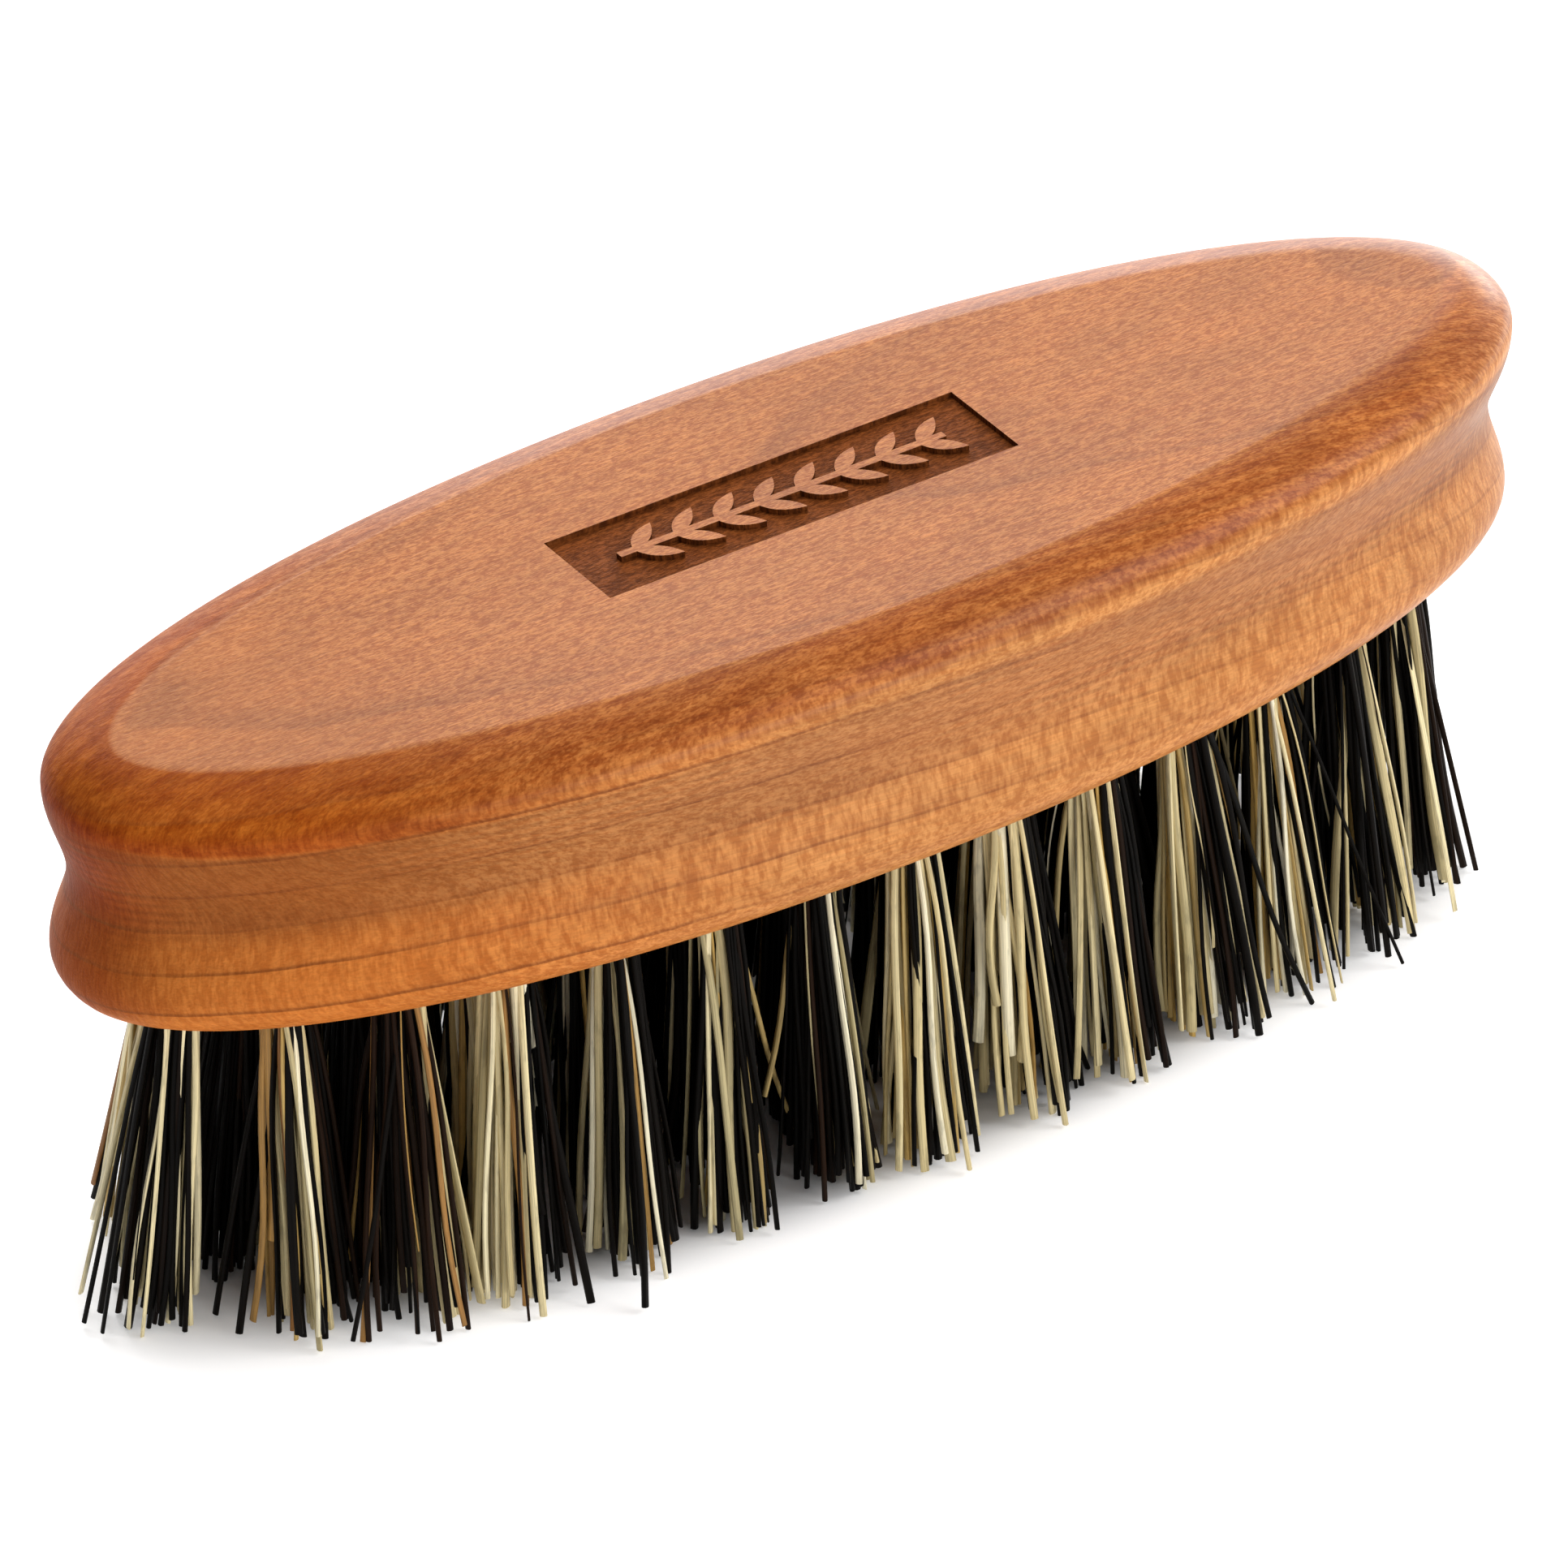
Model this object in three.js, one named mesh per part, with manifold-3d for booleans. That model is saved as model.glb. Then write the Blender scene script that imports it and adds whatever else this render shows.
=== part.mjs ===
// Oval beard brush: a one-piece fruitwood stock with a finger groove round its side, an engraved panel
// on its top, and 59 tufts of stiff natural fibre in blind holes in its underside.
// Millimetres, +Z up, +X along the brush. It stands on its tuft tips at z = 0, with the origin under its middle.
import * as THREE from "three";
import { mergeVertices } from "three/addons/utils/BufferGeometryUtils.js";
import Module from "manifold-3d";

// Overall size
const LENGTH = 110;
const WIDTH = 36;
const STOCK_HEIGHT = 18.9;
const FREE_FIBRE = 23; // from the underside of the stock down to the tips
const TOP = FREE_FIBRE + STOCK_HEIGHT;

// Outline of the stock: a superellipse that gets more pointed as it is inset
const OUTLINE_POWER = 2.134;
const POINTING = 0.059; // power lost for each millimetre of inset
const OUTLINE_STEPS = 64;

// Side of the stock, as insets from the widest line and heights above the underside
const WIDEST_HEIGHT = 15.7;
const RIDGE_INSET = 4.35;
const SHOULDER_SWEEP = THREE.MathUtils.degToRad(68);
const GROOVE_HEIGHT = 9.4;
const GROOVE_INSET = 1.35;
const LOBE_HEIGHT = 3.6;
const LOBE_INSET = 0.2;
const RIM_INSET = 5;

// Engraved panel on the top face
const PANEL_LENGTH = 31.4;
const PANEL_WIDTH = 7.6;
const PANEL_OFFSET = 1.1; // across the brush, from its middle
const PANEL_DEPTH = 0.4;
const SPRIG_LENGTH = 25;
const STEM_WIDTH = 0.6;
const LEAF_PAIRS = 8;
const LEAF_LENGTH = 3.3;
const LEAF_WIDTH = 1.15;
const LEAF_ANGLE = THREE.MathUtils.degToRad(38);

// Tufts and their holes
const HOLE_RADIUS = 1.75;
const HOLE_DEPTH = 8;
const FIT_GAP = 0.3;
const TIP_RADIUS = 2.45;
const TUFT_SIDES = 10;
const LINES = [
  { name: "outer", count: 28, length: 48, width: 11.8, start: 0.14, lean: 7 },
  { name: "middle", count: 22, length: 41.8, width: 5.9, start: 0, lean: 4.5 },
];
const CENTRE_COUNT = 9;
const CENTRE_PITCH = 7.6;

const wasm = await Module();
wasm.setup();

function toSolid(geometry) {
  const bare = geometry.clone();
  bare.deleteAttribute("normal");
  bare.deleteAttribute("uv");
  const merged = mergeVertices(bare, 1e-3);
  return new wasm.Manifold(new wasm.Mesh({
    numProp: 3,
    vertProperties: new Float32Array(merged.attributes.position.array),
    triVerts: new Uint32Array(merged.index.array),
  }));
}

function toGeometry(solid) {
  const mesh = solid.getMesh();
  const geometry = new THREE.BufferGeometry();
  geometry.setAttribute("position", new THREE.BufferAttribute(mesh.vertProperties, 3));
  geometry.setIndex(new THREE.BufferAttribute(mesh.triVerts, 1));
  geometry.computeVertexNormals();
  return geometry;
}

// Point at angle `turn` of a superellipse with the given half length, half width and power.
function ovalPoint(turn, halfLength, halfWidth, power) {
  const along = Math.cos(turn);
  const across = Math.sin(turn);
  return new THREE.Vector2(
    halfLength * Math.sign(along) * Math.abs(along) ** (2 / power),
    halfWidth * Math.sign(across) * Math.abs(across) ** (2 / power),
  );
}

function stockOutline(turn, inset) {
  const power = OUTLINE_POWER - POINTING * inset;
  return ovalPoint(turn, LENGTH / 2 - inset, WIDTH / 2 - inset, power);
}

// Side of the stock from the underside up to the ridge: x is the inset, y the height above the underside.
function sideProfile() {
  const profile = [];
  const add = (inset, height) => profile.push(new THREE.Vector2(inset, height));
  const lowerEdgeSteps = 5;
  for (let i = 0; i < lowerEdgeSteps; i++) {
    const turn = (Math.PI / 2) * (1 - i / lowerEdgeSteps);
    add(
      LOBE_INSET + (RIM_INSET - LOBE_INSET) * (1 - Math.cos(turn)),
      LOBE_HEIGHT * (1 - Math.sin(turn)),
    );
  }
  const grooveSteps = 5;
  const ease = (t) => (1 - Math.cos(Math.PI * t)) / 2;
  for (let i = 0; i < grooveSteps; i++) {
    const t = i / grooveSteps;
    add(
      THREE.MathUtils.lerp(LOBE_INSET, GROOVE_INSET, ease(t)),
      THREE.MathUtils.lerp(LOBE_HEIGHT, GROOVE_HEIGHT, t),
    );
  }
  for (let i = 0; i < grooveSteps; i++) {
    const t = i / grooveSteps;
    add(GROOVE_INSET * (1 - ease(t)), THREE.MathUtils.lerp(GROOVE_HEIGHT, WIDEST_HEIGHT, t));
  }
  const shoulderSteps = 5;
  for (let i = 0; i <= shoulderSteps; i++) {
    const turn = (SHOULDER_SWEEP * i) / shoulderSteps;
    add(
      (RIDGE_INSET * (1 - Math.cos(turn))) / (1 - Math.cos(SHOULDER_SWEEP)),
      WIDEST_HEIGHT + ((STOCK_HEIGHT - WIDEST_HEIGHT) * Math.sin(turn)) / Math.sin(SHOULDER_SWEEP),
    );
  }
  return profile;
}

// The stock before drilling: a lathe of the side profile, with every ring stretched onto the oval outline.
function blankGeometry() {
  const side = sideProfile();
  const reach = WIDTH / 2;
  const turned = [
    new THREE.Vector2(0, 0),
    ...side.map((point) => new THREE.Vector2(reach - point.x, point.y)),
    new THREE.Vector2(0, STOCK_HEIGHT),
  ];
  const geometry = new THREE.LatheGeometry(turned, OUTLINE_STEPS);
  geometry.rotateX(Math.PI / 2);
  const position = geometry.attributes.position;
  const step = (2 * Math.PI) / OUTLINE_STEPS;
  for (let i = 0; i < position.count; i++) {
    const radius = Math.hypot(position.getX(i), position.getY(i));
    const turn = step * Math.round(Math.atan2(position.getY(i), position.getX(i)) / step);
    const spot = radius < 1e-6 ? new THREE.Vector2() : stockOutline(turn, reach - radius);
    position.setXY(i, spot.x, spot.y);
  }
  geometry.translate(0, 0, FREE_FIBRE);
  return geometry;
}

// Evenly spaced places along an oval line, each with its outward direction and lean.
function placesOnLine({ name, count, length, width, start, lean }) {
  const oval = new THREE.Curve();
  oval.getPoint = (t) => {
    const spot = ovalPoint(2 * Math.PI * t, length, width, 2.1);
    return new THREE.Vector3(spot.x, spot.y, 0);
  };
  oval.arcLengthDivisions = 2000;
  return Array.from({ length: count }, (_, i) => {
    const at = (i + start) / count;
    const spot = oval.getPointAt(at);
    const outward = new THREE.Vector2(spot.x / length ** 2, spot.y / width ** 2).normalize();
    return {
      name: `${name}_tuft_${String(i + 1).padStart(2, "0")}`,
      x: spot.x,
      y: spot.y,
      slopeX: outward.x * Math.tan(THREE.MathUtils.degToRad(lean)),
      slopeY: outward.y * Math.tan(THREE.MathUtils.degToRad(lean)),
    };
  });
}

function tuftPlaces() {
  const places = LINES.flatMap(placesOnLine);
  for (let i = 0; i < CENTRE_COUNT; i++) {
    const x = (i - (CENTRE_COUNT - 1) / 2) * CENTRE_PITCH;
    places.push({ name: `centre_tuft_${i + 1}`, x, y: 0, slopeX: 0, slopeY: 0 });
  }
  return places;
}

// A round body on the axis of one hole. Profile heights are measured down from the hole mouth.
function leaningBody(place, profile) {
  const geometry = new THREE.LatheGeometry(profile, TUFT_SIDES);
  geometry.rotateX(Math.PI / 2);
  const lean = new THREE.Matrix4().makeShear(0, 0, 0, 0, -place.slopeX, -place.slopeY);
  geometry.applyMatrix4(lean);
  return geometry;
}

function holeCutter(place) {
  const below = 1;
  const geometry = leaningBody(place, [
    new THREE.Vector2(0, -below),
    new THREE.Vector2(HOLE_RADIUS, -below),
    new THREE.Vector2(HOLE_RADIUS, HOLE_DEPTH),
    new THREE.Vector2(0, HOLE_DEPTH),
  ]);
  geometry.translate(place.x, place.y, FREE_FIBRE);
  return toSolid(geometry);
}

// A generic sprig of paired leaves on a straight stem, left standing in the panel at the height of the top.
function sprigSolid() {
  const rooting = 0.2; // how far the sprig reaches below the panel floor, so that it is one with the stock
  const stand = { depth: PANEL_DEPTH + rooting + 1, bevelEnabled: false, curveSegments: 3 };
  const leaf = new THREE.Shape();
  leaf.moveTo(0, 0);
  leaf.quadraticCurveTo(LEAF_LENGTH * 0.45, LEAF_WIDTH, LEAF_LENGTH, 0);
  leaf.quadraticCurveTo(LEAF_LENGTH * 0.45, -LEAF_WIDTH, 0, 0);
  const stem = new THREE.BoxGeometry(SPRIG_LENGTH, STEM_WIDTH, stand.depth);
  stem.translate(0, 0, stand.depth / 2);
  const solids = [toSolid(stem)];
  for (let pair = 0; pair < LEAF_PAIRS; pair++) {
    const x = -SPRIG_LENGTH / 2 + (SPRIG_LENGTH * (pair + 0.35)) / LEAF_PAIRS;
    for (const side of [-1, 1]) {
      const blade = new THREE.ExtrudeGeometry(leaf, stand);
      blade.rotateZ(side * LEAF_ANGLE);
      blade.translate(x, 0, 0);
      solids.push(toSolid(blade));
    }
  }
  return wasm.Manifold.union(solids).translate(0, 0, -PANEL_DEPTH - rooting);
}

function stockGeometry(places) {
  const panel = new THREE.BoxGeometry(PANEL_LENGTH, PANEL_WIDTH, 2 * PANEL_DEPTH);
  const placedCut = toSolid(panel).subtract(sprigSolid()).translate(0, PANEL_OFFSET, TOP);
  const cuts = wasm.Manifold.union([placedCut, ...places.map(holeCutter)]);
  return toGeometry(toSolid(blankGeometry()).subtract(cuts));
}

// One tuft, folded root to cut tips, with its anchor inside its root.
function tuftGeometry(place) {
  const rootRadius = HOLE_RADIUS - FIT_GAP;
  return leaningBody(place, [
    new THREE.Vector2(0, -FREE_FIBRE),
    new THREE.Vector2(TIP_RADIUS, -FREE_FIBRE),
    new THREE.Vector2(rootRadius + (TIP_RADIUS - rootRadius) * 0.4, -FREE_FIBRE * 0.5),
    new THREE.Vector2(rootRadius, 0),
    new THREE.Vector2(rootRadius, HOLE_DEPTH - FIT_GAP),
    new THREE.Vector2(0, HOLE_DEPTH - FIT_GAP),
  ]);
}

const pearWood = new THREE.MeshStandardMaterial({ color: 0xb87445, roughness: 0.55, metalness: 0 });
const mixedFibre = new THREE.MeshStandardMaterial({ color: 0x2a241c, roughness: 0.6, metalness: 0 });

const brush = new THREE.Group();
const places = tuftPlaces();

const stock = new THREE.Mesh(stockGeometry(places), pearWood);
stock.name = "stock";
brush.add(stock);

for (const place of places) {
  const tuft = new THREE.Mesh(tuftGeometry(place), mixedFibre);
  tuft.name = place.name;
  tuft.position.set(place.x, place.y, FREE_FIBRE);
  brush.add(tuft);
}

export default brush;
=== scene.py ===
import math
import random
from statistics import NormalDist
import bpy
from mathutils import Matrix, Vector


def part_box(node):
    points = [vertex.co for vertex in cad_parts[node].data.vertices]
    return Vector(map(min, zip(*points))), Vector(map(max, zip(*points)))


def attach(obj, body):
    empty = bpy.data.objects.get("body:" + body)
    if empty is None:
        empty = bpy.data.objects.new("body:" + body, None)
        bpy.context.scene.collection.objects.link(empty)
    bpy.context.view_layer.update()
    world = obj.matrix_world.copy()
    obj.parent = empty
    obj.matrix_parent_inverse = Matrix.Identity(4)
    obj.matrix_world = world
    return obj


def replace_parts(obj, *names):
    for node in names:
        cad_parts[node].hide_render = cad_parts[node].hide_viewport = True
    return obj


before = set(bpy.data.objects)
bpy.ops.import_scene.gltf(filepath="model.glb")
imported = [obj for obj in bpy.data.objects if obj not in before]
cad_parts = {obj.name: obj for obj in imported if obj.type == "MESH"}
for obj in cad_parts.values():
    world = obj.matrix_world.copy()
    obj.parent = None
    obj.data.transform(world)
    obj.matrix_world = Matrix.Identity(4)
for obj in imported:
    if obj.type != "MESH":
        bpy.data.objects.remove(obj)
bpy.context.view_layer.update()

from types import SimpleNamespace

import bpy
import bmesh
from mathutils import Matrix, Vector

# ---------------------------------------------------------------------------------------------------
# Camera. A long lens from the front left of the brush, looking down on it at about 34 degrees, so that
# the flat back, the near side and the near line of tufts all show.
MM = 0.001
stock_low, stock_high = (Vector(corner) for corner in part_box("stock"))
centre = (stock_low + stock_high) / 2
underside = stock_low.z
top = stock_high.z

CAMERA_TURN = math.radians(-34.05)
CAMERA_RISE = math.radians(34.17)
CAMERA_ROLL = math.radians(-0.2)
CAMERA_DISTANCE = 1.0
CAMERA_SENSOR = 36
CAMERA_LENS = 357
CAMERA_NEAR = 0.05
CAMERA_FAR = 20
AIM_LEFT = 0.58 * MM
AIM_DOWN = 2.32 * MM

camera_data = bpy.data.cameras.new("camera")
camera_data.sensor_width = CAMERA_SENSOR
camera_data.lens = CAMERA_LENS
camera_data.clip_start = CAMERA_NEAR
camera_data.clip_end = CAMERA_FAR
camera = bpy.data.objects.new("camera", camera_data)
bpy.context.scene.collection.objects.link(camera)
backward = Vector((
    math.sin(CAMERA_TURN) * math.cos(CAMERA_RISE),
    -math.cos(CAMERA_TURN) * math.cos(CAMERA_RISE),
    math.sin(CAMERA_RISE),
))
rightward = Vector((math.cos(CAMERA_TURN), math.sin(CAMERA_TURN), 0))
upward = backward.cross(rightward)
aim = Vector((centre.x, centre.y, underside)) - AIM_LEFT * rightward - AIM_DOWN * upward
stance = Matrix((rightward, upward, backward)).transposed().to_4x4()
camera.matrix_world = (
    Matrix.Translation(aim + CAMERA_DISTANCE * backward) @ stance @ Matrix.Rotation(CAMERA_ROLL, 4, "Z")
)
bpy.context.scene.camera = camera

# ---------------------------------------------------------------------------------------------------
# Studio. A white table top that glows a little, painted light, with the glow cut away round the brush's foot
# as a painted shadow; a bank of soft lights behind the brush that skims its flat back, a soft key from the
# front right and a low wide fill from the front.
TABLE_RADIUS = 3.0
TABLE_SIDES = 96
TABLE_SINK = 0.05 * MM
BOARD_WHITE = (0.8, 0.8, 0.8, 1)
SHADE_LENGTH = 53 * MM  # half the length and half the width of the painted shadow round the brush
SHADE_WIDTH = 17 * MM
SHADE_EDGE = (0.82, 1.16)  # where the glow starts and is full, as shares of those halves
FAR_TABLE = (3.0, 9.0)
NEAR_GLOW = 0.62
FAR_GLOW = 0.84
SKY_LIGHT = 0.3
SKY_SEEN = 1.0


def add_node(tree, kind, inputs=None, **settings):
    """A shader node with its settings, and its inputs set or linked. Returns the node."""
    made = tree.nodes.new(kind)
    for name, value in settings.items():
        setattr(made, name, value)
    for name, value in (inputs or {}).items():
        if isinstance(value, bpy.types.NodeSocket):
            tree.links.new(value, made.inputs[name])
        else:
            made.inputs[name].default_value = value
    return made


def calc(tree, operation, a, b=0.0, c=0.0):
    """One sum on numbers. Returns its result."""
    return add_node(tree, "ShaderNodeMath", {0: a, 1: b, 2: c}, operation=operation).outputs[0]


def ramp(tree, value, low, high, out_low=0.0, out_high=1.0, smooth=True):
    """A value spread from one range to another, and held at its ends."""
    kind = "SMOOTHSTEP" if smooth else "LINEAR"
    inputs = {"Value": value, "From Min": low, "From Max": high, "To Min": out_low, "To Max": out_high}
    return add_node(tree, "ShaderNodeMapRange", inputs, interpolation_type=kind).outputs["Result"]


table_mesh = bmesh.new()
bmesh.ops.create_circle(table_mesh, cap_ends=True, segments=TABLE_SIDES, radius=TABLE_RADIUS)
table_data = bpy.data.meshes.new("table_top")
table_mesh.to_mesh(table_data)
table_mesh.free()
table_top = bpy.data.objects.new("table_top", table_data)
table_top.location.z = -TABLE_SINK
bpy.context.scene.collection.objects.link(table_top)

white_board = bpy.data.materials.new("white_board")
white_board.use_nodes = True
board_shader = white_board.node_tree.nodes["Principled BSDF"]
board_shader.inputs["Base Color"].default_value = BOARD_WHITE
board_shader.inputs["Emission Strength"].default_value = 1.0
board_shader.inputs["Roughness"].default_value = 0.9
board_shader.inputs["Specular IOR Level"].default_value = 0.1
table_data.materials.append(white_board)

# The table glows, painted light, and the glow is cut away under the brush as a painted shadow; far off it
# glows more, painted light that keeps the far table as white as the near one.
tree = white_board.node_tree
from_middle = add_node(tree, "ShaderNodeVectorMath", {
    0: add_node(tree, "ShaderNodeTexCoord").outputs["Object"],
    1: (centre.x, centre.y, 0),
}, operation="SUBTRACT").outputs[0]
in_halves = add_node(tree, "ShaderNodeVectorMath", {
    0: from_middle,
    1: (1 / SHADE_LENGTH, 1 / SHADE_WIDTH, 0),
}, operation="MULTIPLY").outputs[0]
distance = add_node(tree, "ShaderNodeVectorMath", {0: in_halves}, operation="LENGTH").outputs["Value"]
glow = calc(
    tree, "ADD", ramp(tree, distance, *SHADE_EDGE, 0, NEAR_GLOW),
    ramp(tree, distance, *FAR_TABLE, 0, FAR_GLOW - NEAR_GLOW),
)
tree.links.new(glow, board_shader.inputs["Emission Color"])

# The sky is white to the eye, and lights the brush more softly.
world = bpy.data.worlds.new("white_studio")
world.use_nodes = True
bpy.context.scene.world = world
tree = world.node_tree
sky = tree.nodes["Background"]
sky.inputs["Color"].default_value = (1, 1, 1, 1)
seen = add_node(tree, "ShaderNodeLightPath").outputs["Is Camera Ray"]
tree.links.new(ramp(tree, seen, 0, 1, SKY_LIGHT, SKY_SEEN, smooth=False), sky.inputs["Strength"])
bpy.context.scene.view_settings.view_transform = "Standard"


def soft_light(name, place, width, height, watts):
    """A rectangular softbox at a place, turned to face the brush."""
    data = bpy.data.lights.new(name, "AREA")
    data.shape = "RECTANGLE"
    data.size = width
    data.size_y = height
    data.energy = watts
    light = bpy.data.objects.new(name, data)
    light.location = place
    light.rotation_euler = (centre - light.location).to_track_quat("-Z", "Y").to_euler()
    bpy.context.scene.collection.objects.link(light)


soft_light("back_softbox", Vector((0.55, 0.85, 0.72)), 0.9, 0.55, 5.0)
soft_light("back_board", Vector((0.85, 1.1, 0.26)), 1.7, 0.5, 14.0)
soft_light("high_softbox", Vector((0.1, 0.5, 0.95)), 0.5, 0.5, 5.0)
soft_light("key_softbox", Vector((0.75, -0.55, 0.75)), 0.55, 0.55, 5.5)
soft_light("front_fill", Vector((0.2, -1.0, 0.25)), 0.8, 0.3, 4.5)

# ---------------------------------------------------------------------------------------------------
# Stock. One piece of pear wood, moulded on a spindle: flat back with a crisp ridge, rounded shoulder,
# finger groove all round and a rounded lower edge. The panel is engraved and the underside is drilled.
HALF_LENGTH = (stock_high.x - stock_low.x) / 2
HALF_WIDTH = (stock_high.y - stock_low.y) / 2
STOCK_HEIGHT = top - underside
OUTLINE_POWER = 2.134
POINTING = 59.0  # power lost for each metre of inset
WIDEST_HEIGHT = 15.7 * MM
RIDGE_INSET = 4.35 * MM
SHOULDER_SWEEP = math.radians(68)
GROOVE_HEIGHT = 9.4 * MM
GROOVE_INSET = 1.35 * MM
LOBE_HEIGHT = 3.6 * MM
LOBE_INSET = 0.2 * MM
RIM_INSET = 5.0 * MM
RIDGE_ROUNDING = 0.1 * MM
RIGHT_ROUNDING = 1.1 * MM  # added towards the two ends, where sanding has worn the ridge down
LEFT_ROUNDING = 0.6 * MM
WEAR_POWER = 7
SHOULDER_ARC = 5.6 * MM
LOBE_STEPS = 12
GROOVE_STEPS = 14
SHOULDER_STEPS = 16
ROUNDING_STEPS = 7
ROUND_STEPS = 400
SHARP_ANGLE = math.radians(35)


def lerp(a, b, t):
    return a + (b - a) * t


def ease(t):
    return (1 - math.cos(math.pi * t)) / 2


def outline_point(turn, inset, height):
    """A point on the side of the stock, a distance inside its widest line."""
    power = OUTLINE_POWER - POINTING * inset
    along, across = math.cos(turn), math.sin(turn)
    return Vector((
        centre.x + math.copysign(abs(along) ** (2 / power), along) * (HALF_LENGTH - inset),
        centre.y + math.copysign(abs(across) ** (2 / power), across) * (HALF_WIDTH - inset),
        underside + height,
    ))


def side_profile(rounding):
    """(inset, height) from the rim of the underside up to the ridge round the flat back."""
    profile = []
    for i in range(LOBE_STEPS):
        turn = math.pi / 2 * (1 - i / LOBE_STEPS)
        profile.append((
            LOBE_INSET + (RIM_INSET - LOBE_INSET) * (1 - math.cos(turn)),
            LOBE_HEIGHT * (1 - math.sin(turn)),
        ))
    for i in range(GROOVE_STEPS):
        t = i / GROOVE_STEPS
        profile.append((lerp(LOBE_INSET, GROOVE_INSET, ease(t)), lerp(LOBE_HEIGHT, GROOVE_HEIGHT, t)))
    for i in range(GROOVE_STEPS):
        t = i / GROOVE_STEPS
        profile.append((GROOVE_INSET * (1 - ease(t)), lerp(GROOVE_HEIGHT, WIDEST_HEIGHT, t)))
    last_turn = SHOULDER_SWEEP * (1 - rounding / SHOULDER_ARC)
    for i in range(SHOULDER_STEPS + 1):
        turn = last_turn * i / SHOULDER_STEPS
        profile.append((
            RIDGE_INSET * (1 - math.cos(turn)) / (1 - math.cos(SHOULDER_SWEEP)),
            lerp(WIDEST_HEIGHT, STOCK_HEIGHT, math.sin(turn) / math.sin(SHOULDER_SWEEP)),
        ))
    soft_start = profile.pop()
    ridge = (RIDGE_INSET, STOCK_HEIGHT)
    soft_end = (RIDGE_INSET + rounding, STOCK_HEIGHT)
    for i in range(ROUNDING_STEPS):
        t = i / (ROUNDING_STEPS - 1)
        profile.append(tuple(
            (1 - t) ** 2 * a + 2 * t * (1 - t) * b + t ** 2 * c
            for a, b, c in zip(soft_start, ridge, soft_end)
        ))
    return profile


blank = bmesh.new()
columns = []
for i in range(ROUND_STEPS):
    turn = 2 * math.pi * i / ROUND_STEPS
    worn = RIGHT_ROUNDING if math.cos(turn) > 0 else LEFT_ROUNDING
    profile = side_profile(RIDGE_ROUNDING + worn * abs(math.cos(turn)) ** WEAR_POWER)
    columns.append([blank.verts.new(outline_point(turn, inset, height)) for inset, height in profile])
rings = list(zip(*columns))
for lower, upper in zip(rings, rings[1:]):
    for i in range(ROUND_STEPS):
        j = (i + 1) % ROUND_STEPS
        blank.faces.new((lower[i], lower[j], upper[j], upper[i]))
blank.faces.new(list(reversed(rings[0])))
blank.faces.new(rings[-1])
stock_data = bpy.data.meshes.new("oiled_stock")
blank.to_mesh(stock_data)
blank.free()
stock = bpy.data.objects.new("oiled_stock", stock_data)
bpy.context.scene.collection.objects.link(stock)

# The tuft nodes give the axis of every drilled hole: the middle of the root and the middle of the tips.
HOLE_RADIUS = 1.75 * MM
HOLE_GAP = 0.3 * MM
SLICE = 0.01 * MM


def level_middle(corners, height):
    """Middle of the corners of a CAD solid that lie at one height."""
    level = [corner for corner in corners if abs(corner.z - height) < SLICE]
    spans = [sorted(corner[axis] for corner in level) for axis in range(2)]
    return Vector((*((span[0] + span[-1]) / 2 for span in spans), height))


tufts = {}
for node in sorted(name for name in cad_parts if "tuft" in name):
    corners = [vertex.co.copy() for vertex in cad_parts[node].data.vertices]
    tip = level_middle(corners, min(corner.z for corner in corners))
    root = level_middle(corners, max(corner.z for corner in corners))
    slope = (tip - root) / (root.z - tip.z)
    tufts[node] = {"mouth": root + slope * (root.z - underside), "slope": slope, "root": root}


def apply_cut(target, tool, operation):
    """Joins or cuts the target with another solid, and removes that solid afterwards."""
    cut = target.modifiers.new("cut", "BOOLEAN")
    cut.operation = operation
    cut.solver = "EXACT"
    cut.use_self = operation == "UNION"
    cut.object = tool
    solved = bpy.data.meshes.new_from_object(target.evaluated_get(bpy.context.evaluated_depsgraph_get()))
    target.modifiers.clear()
    target.data = solved
    bpy.data.objects.remove(tool)


def loose_solid(name, solid):
    """An object made of a finished solid, ready to join or cut with."""
    data = bpy.data.meshes.new(name)
    solid.to_mesh(data)
    solid.free()
    made = bpy.data.objects.new(name, data)
    bpy.context.scene.collection.objects.link(made)
    bpy.context.view_layer.update()
    return made


HOLE_SIDES = 28
MOUTH_CHAMFER = 0.12 * MM
drills = bmesh.new()
for tuft in tufts.values():
    levels = [tuft["root"].z + HOLE_GAP, underside + MOUTH_CHAMFER, underside - MOUTH_CHAMFER]
    radii = [HOLE_RADIUS, HOLE_RADIUS, HOLE_RADIUS + 2 * MOUTH_CHAMFER]
    loops = []
    for level, radius in zip(levels, radii):
        middle = tuft["mouth"] + tuft["slope"] * (underside - level)
        loops.append([
            drills.verts.new((
                middle.x + radius * math.cos(2 * math.pi * i / HOLE_SIDES),
                middle.y + radius * math.sin(2 * math.pi * i / HOLE_SIDES),
                level,
            ))
            for i in range(HOLE_SIDES)
        ])
    for upper, lower in zip(loops, loops[1:]):
        for i in range(HOLE_SIDES):
            j = (i + 1) % HOLE_SIDES
            drills.faces.new((lower[i], lower[j], upper[j], upper[i]))
    drills.faces.new(loops[0])
    drills.faces.new(list(reversed(loops[-1])))
apply_cut(stock, loose_solid("drills", drills), "DIFFERENCE")

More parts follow.
